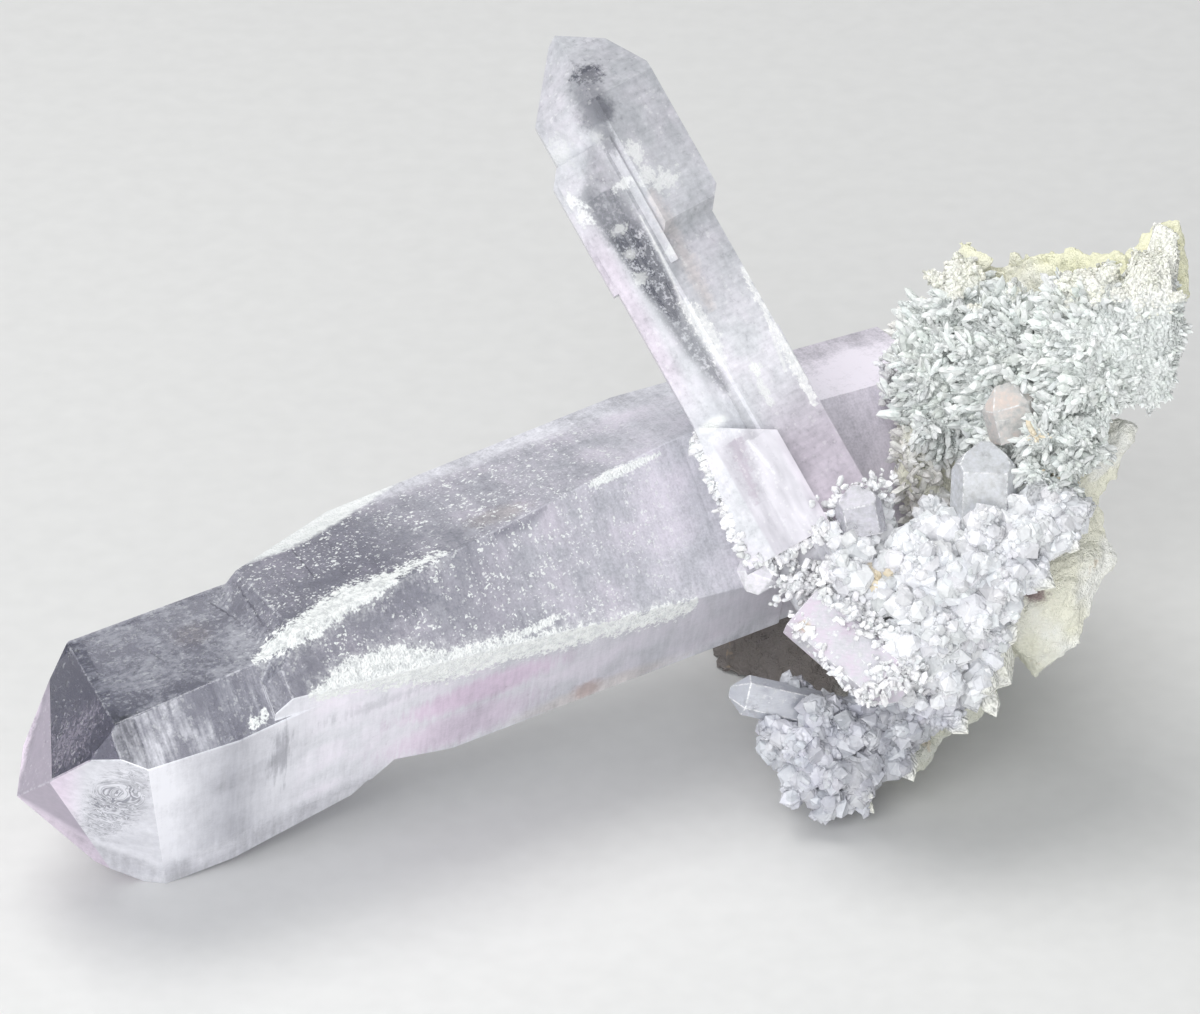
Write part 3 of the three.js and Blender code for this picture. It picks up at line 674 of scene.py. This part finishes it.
# the smaller crystals: the material slot, how milky, their pale and deeper colours
smallOnes = {
    "blade_crystal": ("pink_amethyst", 0.76, (0.64, 0.635, 0.68, 1), (0.58, 0.50, 0.59, 1)),
    "pendant_crystal": ("pink_amethyst", 0.70, (0.93, 0.92, 0.96, 1), (0.88, 0.84, 0.92, 1)),
    "finger_crystal": ("clear_quartz", 0.60, (0.72, 0.74, 0.80, 1), (0.38, 0.39, 0.44, 1)),
    "upright_crystal": ("clear_quartz", 0.52, (0.88, 0.90, 0.93, 1), (0.72, 0.74, 0.79, 1)),
    "leaning_crystal": ("clear_quartz", 0.46, (0.86, 0.86, 0.92, 1), (0.70, 0.68, 0.76, 1)),
    "russet_crystal": ("russet_quartz", 0.56, (0.93, 0.92, 0.90, 1), (0.78, 0.66, 0.60, 1)),
}
smallRound = 0.07  # how far their edges are rounded, mm
smallAbsorb = ((0.88, 0.80, 0.90, 1), 10.0)


def smallFinish(node, milk, pale, deep):
    f = Finish(node + "Quartz")
    here = f.place()
    cloud = f.noise(here, 0.45, 3)
    fine = f.noise(here, 2.0, 3, 0.0, 0.65)
    worn = f.attribute("worn", 2) * f.ease(fine, 0.35, 0.60)
    body = f.blend(f.ease(cloud * 0.6 + fine * 0.4, 0.42, 0.66), pale, deep)
    body = f.blend(f.ease(fine, 0.62, 0.74) * 0.2, body, (0.45, 0.44, 0.48, 1))
    body = f.blend((1 - f.ease(fine, 0.30, 0.42)) * 0.8, body, (0.97, 0.98, 0.99, 1))
    if node == "blade_crystal":  # an ochre spot near its root
        x, _, z = f.split(here)
        ochre = f.patch(x, z, (16.7, 20.9), (0.7, 0.5), (fine - 0.5) * 1.6)
        body = f.blend(ochre * 0.55, body, (0.66, 0.50, 0.28, 1))
    # edge wear and painted highlight: the rounded edges are whitened
    body = f.blend(worn * 0.85, body, (0.98, 0.98, 0.99, 1))
    skin = f.bump(f.noise(f.stretch(here, (1.0, 1.0, 3.5)), 1.4, 1), 0.25, 0.0001)
    clear = f.blend(0.5, (0.97, 0.96, 0.98, 1), body)
    share = f.ease(cloud * 0.7 + fine * 0.6 + milk - 0.65, 0.0, 1.0)
    stone = f.quartz(f.most(share, worn * 0.8), clear, body, 0.03 + fine * 0.10, 0.18 + fine * 0.15, skin)
    return f.done(stone, smallAbsorb, f.insideOf(pale))


def buildSmall(node, slot, milk, pale, deep):
    upright = crystalAxes(Vector((0, 0, 1)))
    showCrystal(node, node + "_shown", smallFinish(node, milk, pale, deep), upright, smallRound, 1)


rock = {
    "voxel": 0.42,
    # grain size and height of the broken faces, mm
    "lumps": (6.0, 1.8),
    "ledges": (2.6, 1.0),
    "grit": (0.8, 0.5),
    "cream": (0.96, 0.95, 0.81, 1),
    "ivory": (0.99, 0.99, 0.94, 1),
    "buff": (0.80, 0.78, 0.66, 1),
    "fresh": (1.0, 0.99, 0.72, 1),
    # the colour towards the foot, painted shade
    "foot": (0.56, 0.58, 0.51, 1),
    "shaded": (0.16, 0.13, 0.13, 1),
    "rust": (0.62, 0.44, 0.26, 1),
    "spot": (0.22, 0.13, 0.15, 1),
}


def rockFinish():
    f = Finish("creamRock")
    here = f.place()
    x, y, z = f.split(here)
    broad = f.noise(here, 0.16, 3)
    grit = f.noise(here, 2.2, 3, 0.0, 0.7)
    sand = f.noise(here, 7.0, 1, 0.0, 0.7)
    mist = broad - 0.5
    shares = {
        "ivory": f.ease(broad, 0.40, 0.62),
        "buff": f.ease(grit, 0.55, 0.75) * 0.5,
        "fresh": f.ease(z + mist * 4, 41, 43) * 0.85,  # the broken top is the yellowest
        "foot": (1 - f.ease(z + x * 0.2 + mist * 8, 16, 26)) * 0.5,  # painted shade: greyer and darker towards the foot
        "shaded": (1 - f.ease(x + mist * 9, 19, 27)) * (1 - f.ease(z, 20, 24)) * 0.85,  # the rear foot
        "rust": f.ease(f.noise(here, 0.5, 3), 0.66, 0.74) * 0.35,
        "spot": f.patch(x, z, (36.4, 20.4), (1.3, 0.8), (grit - 0.5) * 1.6) * (1 - f.ease(y, -5.5, -4)) * 0.8,
    }
    colour = rock["cream"]
    for name, share in shares.items():
        colour = f.blend(share, colour, rock[name])
    relief = f.bump(grit + sand * 0.5, 0.7, 0.0006)
    return f.done(f.shader({"Base Color": colour, "Roughness": 0.86 + grit * 0.1, "Normal": relief}))


def displace(piece, name, size, height):
    texture = bpy.data.textures.new(name, "CLOUDS")
    texture.noise_scale = size * mm
    step = piece.modifiers.new(name, "DISPLACE")
    step.texture, step.texture_coords = texture, "LOCAL"
    step.strength, step.mid_level = height * mm, 0.5
    return texture


def buildRock(material):
    piece = showPiece(nodeCopy("matrix_rock", "rock", flat=False), material)
    skin = piece.modifiers.new("skin", "REMESH")
    skin.mode, skin.voxel_size = "VOXEL", rock["voxel"] * mm
    soft = piece.modifiers.new("soft", "SMOOTH")
    soft.factor, soft.iterations = 0.5, 4
    displace(piece, "lumps", *rock["lumps"])
    displace(piece, "ledges", *rock["ledges"]).noise_type = "HARD_NOISE"
    displace(piece, "grit", *rock["grit"])
    applyModifiers(piece)
    mesh = piece.data
    low, high = (np.array(p) for p in cadBox)
    places = np.clip(valuesOf(mesh.vertices, "co"), low, high)  # nothing under the table or past the box
    mesh.vertices.foreach_set("co", places.ravel())
    mesh.polygons.foreach_set("use_smooth", np.zeros(len(mesh.polygons), bool))
    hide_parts("matrix_rock")
    print("rock:", len(piece.data.polygons), "faces")
    return piece


druse = {
    "seed": 11,
    "point": 0.93,  # a ring's width at the shoulder against its foot
    # crystals per square mm, radius range (mm), how rare the wide ones are, length over radius,
    # the point's length over radius, lean, pale colour
    "needles": {"perArea": 8.0, "radius": (0.06, 0.42), "rare": 5.0, "slim": (3.6, 9.0), "blunt": 1.5,
                "lean": 0.8, "colour": (0.86, 0.895, 0.87)},
    "sugar": {"perArea": 6.4, "radius": (0.12, 1.30), "rare": 4.4, "slim": (1.4, 3.2), "blunt": 0.8,
              "lean": 0.55, "colour": (0.81, 0.82, 0.845)},
    "blocks": {"perArea": 4.5, "radius": (0.14, 1.30), "rare": 3.6, "slim": (1.4, 3.0), "blunt": 0.8,
               "lean": 0.6, "colour": (0.61, 0.62, 0.675)},
    "grit": {"perArea": 9.0, "radius": (0.10, 0.26), "rare": 1.6, "slim": (0.9, 1.6), "blunt": 0.5,
             "lean": 0.8, "colour": (0.95, 0.95, 0.84)},
    "fineAtRight": (39, 5),  # x from which the crystals get finer and shorter, and over how many mm
    "inset": 0.35,  # how far the crust under the crystals is drawn in, mm
    "slab": ((0.76, -0.563, 0.325), (-0.65, -0.658, 0.38)),  # along the slab and out of its face
    "rust": [(36.0, -6.8, 36.1), (37.5, -5.5, 30.7), (24.7, 6.7, 21.8), (22.6, -10.9, 24.7)],
    "stained": (0.82, 0.72, 0.54),
    # painted shade: round these places the crystals are darkened
    "shadedSpots": [((26.0, -11.0, 7.3), 4.5, 0.72), ((21.7, -12.6, 5.3), 2.2, 0.75)],  # where, mm round, factor
    "tufts": ((1.5, 0.4, 0.9), (-0.5, 1.7, 0.7), (0.8, -1.1, 1.6)),  # waves, radians per mm
    # above this line the rock is bare but for grit, (x, z)
    "bareLine": ((29.0, 40.8), (31.5, 41.9), (34.3, 43.1), (38.0, 45.0), (40.5, 46.0), (42.0, 46.8),
                 (46.0, 46.8), (50.0, 47.6)),
    "bareColour": (0.95, 0.95, 0.86),
    # right of this line no crystals grow and the rock is bare, (height along slabUp, x)
    "rightEdge": ((-3.0, 22.0), (-1.2, 25.0), (1.8, 27.6), (4.3, 30.4), (10.4, 33.4), (15.4, 35.7),
                  (20.3, 40.4), (24.2, 41.8)),
    "slabUp": (0.5, 0.866),  # along y and z
}
# where each kind grows: each bed's middle and its half sizes along the slab, up it and out of it, mm
bedsOf = {
    "needles": [
        ((29.1, 7.7, 32.6), (4.5, 7, 4)), ((34.4, 4.4, 35.9), (6, 7.5, 4)), ((41, -0.3, 40.8), (6, 7.5, 4)),
        ((45.4, -2.1, 43.7), (3.2, 7.4, 3)), ((37.4, -2.5, 32.9), (5, 4.5, 3.5)),
        ((30.5, 10.4, 39.4), (3, 4, 2.5)), ((46.6, 1.4, 47.8), (2, 4.2, 1.5)),
        ((28.1, 12.1, 35.6), (2.8, 3, 2.4)),
    ],
    "sugar": [
        ((21.5, -7.4, 22.6), (5.5, 5, 4.5)), ((27.3, -9.3, 21.2), (6, 6.5, 5)),
        ((31.9, -8.5, 24.7), (5, 5, 4)), ((36.9, -7, 27.2), (3.5, 3, 3)), ((30.4, -9.9, 16.2), (5, 4.5, 4)),
    ],
    "blocks": [
        ((27.2, -9.3, 11.3), (4.5, 3, 3.5)), ((18.1, -8.5, 6.4), (4, 4.5, 3.5)),
        ((20.5, -9.5, 4), (4.2, 3.4, 3.5)), ((23.5, -7.4, 6.6), (4.5, 4, 4)),
    ],
}
beds = [(*bed, kind) for kind, some in bedsOf.items() for bed in some]
kinds = ("needles", "sugar", "blocks", "grit")
fringe = {
    # ragged rows round the block at the slender prism's foot: from, to, way out, how many, spread in mm
    "edges": [
        ((7.6, -2.9, 33.8), (11.9, -8.0, 24.8), (-0.8, -0.5, 0.05), 260, 0.3),
        ((13.0, -7.6, 24.2), (18.6, -8.6, 28.0), (0.1, -0.7, -0.6), 240, 0.5),
        ((15.0, -8.4, 22.0), (19.2, -10.6, 24.6), (-0.4, -0.8, 0.2), 260, 0.9),
        ((19.0, -7.4, 29.2), (23.5, -5.0, 29.8), (0.1, -0.5, 0.8), 120, 0.7),
        ((18.6, -11.6, 23.4), (25.6, -15.8, 17.8), (0.4, -0.6, 0.7), 220, 0.5),
        ((15.6, -12.2, 21.4), (21.8, -16.8, 16.0), (-0.7, -0.5, -0.3), 110, 0.35),
        ((20.4, -11.2, 23.2), (25.4, -15.2, 18.6), (0.3, -0.7, 0.5), 150, 0.45),
        ((22.8, -13.6, 20.8), (26.4, -16.2, 17.4), (0.5, -0.4, 0.8), 130, 0.5),
        ((21.4, -17.3, 16.6), (26.0, -15.6, 18.4), (0.2, -0.7, -0.1), 150, 0.5),
        ((22.4, -15.9, 18.3), (25.2, -14.9, 18.9), (0.2, -0.6, 0.6), 110, 0.6),
        ((24.6, 11.2, 33.2), (25.6, 12.0, 28.4), (-0.9, -0.4, 0.3), 150, 0.6),
    ],
    "radius": (0.10, 0.34),
    "slim": (1.5, 3.0),
    "colour": (0.93, 0.935, 0.95),
}
hollow = {
    "at": (25.5, 12.0, 28.0),
    "size": (5.0, 13.0, 10.0),
    "perArea": 4.0,
    "radius": (0.10, 0.40),
    "slim": (2.4, 5),
    "facing": (0.1, -0.85, 0.5),  # it grows where the rock looks this way
    # pale like the rock, and near white to lighten the shade in the hollow: painted light
    "colour": (0.99, 0.98, 0.93),
}


# where each point stands in its nearest bed: the bed's number, the distance in half sizes, the way out of it
def bedOf(points):
    along, out = (unit(np.array(v)) for v in druse["slab"])
    frameAxes = np.stack([along, np.cross(out, along), out])
    middles = np.array([b[0] for b in beds])
    sizes = np.array([b[1] for b in beds])
    local = (points[:, None] / mm - middles[None]) @ frameAxes.T / sizes[None]
    reach = np.linalg.norm(local, axis=2)
    nearest = reach.argmin(1)
    chosen = local[np.arange(len(points)), nearest] / sizes[nearest]
    return nearest, reach.min(1), unit(chosen @ frameAxes)


def druseFinish():
    f = Finish("druseQuartz")
    here = f.place()
    tint = f.attribute("tint")
    rise = f.attribute("tint", 3)  # its alpha: 0 at a point's foot, 1 at its tip
    cloud = f.noise(here, 0.5, 2)
    fine = f.noise(here, 3.2, 1)
    colour = f.blend(f.ease(cloud, 0.35, 0.75) * 0.35, tint, (0.96, 0.96, 0.97, 1))
    colour = f.blend(f.ease(fine, 0.60, 0.8) * 0.15, colour, (0.66, 0.65, 0.62, 1))
    crumbs = f.noise(here, 3.2, 0)
    skin = f.bump(crumbs * (1 - rise * 0.85), 0.8, 0.0006)
    surface = {"Base Color": colour, "Roughness": 0.10 + fine * 0.25, "IOR": quartzIor, "Normal": skin}
    return f.done(f.shader(surface))


# Many small quartz points at once. A corner lies at root + axis * height + radius * (cos(turn) * u +
# sin(turn) * v): one ring of six at height 0, one at the shoulder, which is lower the wider the point,
# then the tip, close to the axis.
def quartzPoints(roots, axes, radii, lengths, blunt, rng):
    count = len(roots)
    level = np.where(np.abs(axes[:, 2:3]) < 0.9, [[0.0, 0.0, 1.0]], [[1.0, 0.0, 0.0]])
    u = unit(np.cross(axes, level))
    v = np.cross(axes, u)
    turn = np.arange(6) * math.pi / 3 + rng.uniform(0, math.pi / 3, (count, 1))
    turn = turn + rng.uniform(-0.12, 0.12, (count, 6))
    wide = radii[:, None] * rng.uniform(0.85, 1.15, (count, 6))
    ring = (np.cos(turn) * wide)[..., None] * u[:, None] + (np.sin(turn) * wide)[..., None] * v[:, None]
    shoulder = lengths[:, None] - radii[:, None] * blunt * rng.uniform(0.6, 1.4, (count, 6))
    upper = ring * druse["point"] + axes[:, None] * shoulder[..., None]
    tip = axes * lengths[:, None] + ring[:, 0] * 0.2
    points = roots[:, None] + np.concatenate([ring, upper, tip[:, None]], 1)
    start = np.arange(count)[:, None, None] * 13
    i, j = np.arange(6), (np.arange(6) + 1) % 6
    sides = start + np.stack([i, j, j + 6, i + 6], 1)[None]
    tops = start + np.stack([i + 6, j + 6, np.full(6, 12)], 1)[None]
    ends = start[:, 0] + np.arange(5, -1, -1)[None]
    return points.reshape(-1, 3), [sides.reshape(-1, 4), tops.reshape(-1, 3), ends]


# each crystal's own shade of its kind's colour, rusty near the stained spots
def tintOf(places, colour, rng):
    count = len(places)
    tints = np.array(colour) * rng.uniform(0.80, 1.08, (count, 1)) * rng.uniform(0.985, 1.015, (count, 3))
    tufts = np.sin(places / mm @ np.array(druse["tufts"])).prod(1)  # whiter and greyer tufts
    tints = tints * (1 + 0.10 * np.clip(tufts * 2, -1, 0.4))[:, None]
    # painted shade: darker round the given places
    for at, reach, factor in druse["shadedSpots"]:
        away = np.linalg.norm(places / mm - np.array(at), axis=1) / reach
        tints = tints * (1 - (1 - factor) * np.exp(-away ** 2))[:, None]
    far = np.linalg.norm(places[:, None] / mm - np.array(druse["rust"])[None], axis=2).min(1)
    stained = (rng.uniform(0, 1, count) < np.exp(-(far / 1.0) ** 2))[:, None]
    return np.clip(np.where(stained, np.array(druse["stained"]), tints), 0, 0.99)


# how far a place lies above the line where the crust turns into bare rock, mm
def aboveBare(places):
    line = np.array(druse["bareLine"])
    return places[:, 2] / mm - np.interp(places[:, 0] / mm, line[:, 0], line[:, 1])


# how far a place lies to the right of the line past which the slab's lower part is bare, mm
def pastEdge(places):
    line = np.array(druse["rightEdge"])
    height = places[:, 1:] @ np.array(druse["slabUp"]) / mm
    past = places[:, 0] / mm - np.interp(height, line[:, 0], line[:, 1])
    return np.where(height < line[-1, 0], past, -1.0)


# seeds on the given triangles, drawn by weight: each at a + s(b - a) + t(c - a), with s + t folded under 1
def strew(a, b, c, weight, count, rng):
    drawn = rng.choice(len(a), count, p=weight / weight.sum())
    s, t = rng.uniform(0, 1, (2, count, 1))
    fold = s + t > 1
    s, t = np.where(fold, 1 - s, s), np.where(fold, 1 - t, t)
    return drawn, a[drawn] + s * (b - a)[drawn] + t * (c - a)[drawn]


def pointsPiece(name, roots, axes, radii, lengths, blunt, colour, material, rng):
    tips = roots + axes * lengths[:, None]
    lowest = np.minimum(roots[:, 2], tips[:, 2]) - radii * 1.3
    # none under the table or on bare rock
    keep = (lowest > 0) & (np.maximum(pastEdge(roots), pastEdge(tips)) < 0.3)
    roots, axes, radii, lengths = (x[keep] for x in (roots, axes, radii, lengths))
    roots = roots - axes * radii[:, None] * 0.8
    vertices, faceSets = quartzPoints(roots, axes, radii, lengths + radii * 0.8, blunt, rng)
    piece = meshPiece(name, vertices, faceSets, material)
    colours = np.zeros((len(roots), 13, 4))
    colours[:, :, :3] = tintOf(roots, colour, rng)[:, None]
    colours[:, 6:, 3] = 1
    piece.data.attributes.new("tint", "FLOAT_COLOR", "POINT").data.foreach_set("color", colours.ravel())
    print(name, len(roots), "crystals")
    return piece


def buildDruse(material, rockTree, rockCorners):
    crust = nodeCopy("druse_crust", "crust", flat=False)
    points, faces = trianglesOf(crust)
    a, b, c = (points[faces[:, i]] for i in range(3))
    normals = np.cross(b - a, c - a)
    areas = np.linalg.norm(normals, axis=1) / 2 / mm ** 2
    normals = unit(normals)
    middles = (a + b + c) / 3
    buried = np.array([rockTree.find_nearest(Vector(m))[3] or 1 for m in middles]) < 0.45 * mm
    bed, reach, outward = bedOf(middles)
    kindOf = np.array([kinds.index(x[2]) for x in beds])[bed]
    kindOf[aboveBare(middles) > -0.6] = kinds.index("grit")
    onPoint = reach > 1.08
    for number, kind in enumerate(kinds):
        rng = np.random.default_rng(druse["seed"] + number)
        recipe = druse[kind]
        weight = areas * ((kindOf == number) & ~buried & (areas > 0)) * np.where(onPoint, 0.8, 1.0)
        count = int(weight.sum() * recipe["perArea"])
        drawn, roots = strew(a, b, c, weight, count, rng)
        low, high = recipe["radius"]
        radii = (low + (high - low) * rng.uniform(0, 1, count) ** recipe["rare"]) * mm
        radii = np.where(onPoint[drawn], radii * 0.75, radii)
        start, reachRight = druse["fineAtRight"]
        right = np.clip((roots[:, 0] / mm - start) / reachRight, 0, 1)
        radii = radii * (1 - 0.35 * right)
        lengths = radii * rng.uniform(*recipe["slim"], count) / (1 + 1.4 * radii / mm) * (1 - 0.5 * right)
        lean = unit(rng.normal(0, 1, (count, 3))) * recipe["lean"] * rng.uniform(0.1, 1.2, (count, 1))
        axes = unit(normals[drawn] * 0.6 + outward[drawn] * 0.5 + lean)
        roots = roots - normals[drawn] * druse["inset"] * 0.6 * mm
        shapes = roots, axes, radii, lengths, recipe["blunt"]
        pointsPiece("druse_" + kind, *shapes, recipe["colour"], material, rng)

    # the ragged rows
    rng = np.random.default_rng(druse["seed"] + 5)
    sets = []
    for start, end, out, count, spread in fringe["edges"]:
        start, end = np.array(start), np.array(end)
        roots = start + (end - start) * rng.uniform(0, 1, (count, 1))
        roots = (roots + rng.normal(0, spread, (count, 3))) * mm
        axes = unit(np.array(out) + rng.normal(0, 0.5, (count, 3)))
        radii = rng.uniform(*fringe["radius"], count) * mm
        sets.append((roots, axes, radii, radii * rng.uniform(*fringe["slim"], count)))
    roots, axes, radii, lengths = (np.concatenate(x) for x in zip(*sets))
    pointsPiece("druse_fringe", roots, axes, radii, lengths, 1.0, fringe["colour"], material, rng)

    # thin druse in the hollow beside the main crystal's root, on the rock
    rockA, rockB, rockC = rockCorners
    middle = (rockA + rockB + rockC) / 3
    normal = np.cross(rockB - rockA, rockC - rockA)
    weight = np.linalg.norm(normal, axis=1)
    near = np.linalg.norm((middle / mm - np.array(hollow["at"])) / np.array(hollow["size"]), axis=1) < 1
    facing = unit(normal) @ np.array(hollow["facing"]) > 0.1
    weight = weight * near * facing
    count = int(weight.sum() / 2 / mm ** 2 * hollow["perArea"])
    drawn, roots = strew(rockA, rockB, rockC, weight, count, rng)
    axes = unit(unit(normal[drawn]) + rng.normal(0, 0.5, (count, 3)))
    radii = rng.uniform(*hollow["radius"], count) * mm
    lengths = radii * rng.uniform(*hollow["slim"], count)
    pointsPiece("druse_hollow", roots, axes, radii, lengths, 1.2, hollow["colour"], material, rng)

    # the crust under the crystals, in the colours of its beds
    nearest, _, _ = bedOf(points)
    rng = np.random.default_rng(druse["seed"] + 9)
    shades = np.array([druse[x[2]]["colour"] for x in beds])[nearest]
    shades = shades * rng.uniform(0.90, 1.0, (len(points), 1))
    bare = (aboveBare(points) > -0.5) | (pastEdge(points) > 0.6)
    shades = np.where(bare[:, None], np.array(druse["bareColour"]), shades)
    tints = np.concatenate([np.clip(shades, 0, 1), np.zeros((len(points), 1))], 1)
    crust.attributes.new("tint", "FLOAT_COLOR", "POINT").data.foreach_set("color", tints.ravel())
    piece = showPiece(crust, material)
    inset = piece.modifiers.new("inset", "DISPLACE")
    inset.strength, inset.mid_level = -druse["inset"] * mm, 0
    applyModifiers(piece)
    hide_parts("druse_crust")


buildStudio()
buildPrism("main_crystal", "largePrism", mainPrism, mainFinish())
buildPrism("second_crystal", "slenderPrism", secondPrism, secondFinish())
print("prisms ready")
for node, recipe in smallOnes.items():
    buildSmall(node, *recipe)
print("small crystals ready")
rockPiece = buildRock(rockFinish())
rockPoints, rockFaces = trianglesOf(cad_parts["matrix_rock"].data)
rockTree = BVHTree.FromPolygons(rockPoints.tolist(), rockFaces.tolist())
shownPoints, shownFaces = trianglesOf(rockPiece.data)
buildDruse(druseFinish(), rockTree, [shownPoints[shownFaces[:, i]] for i in range(3)])
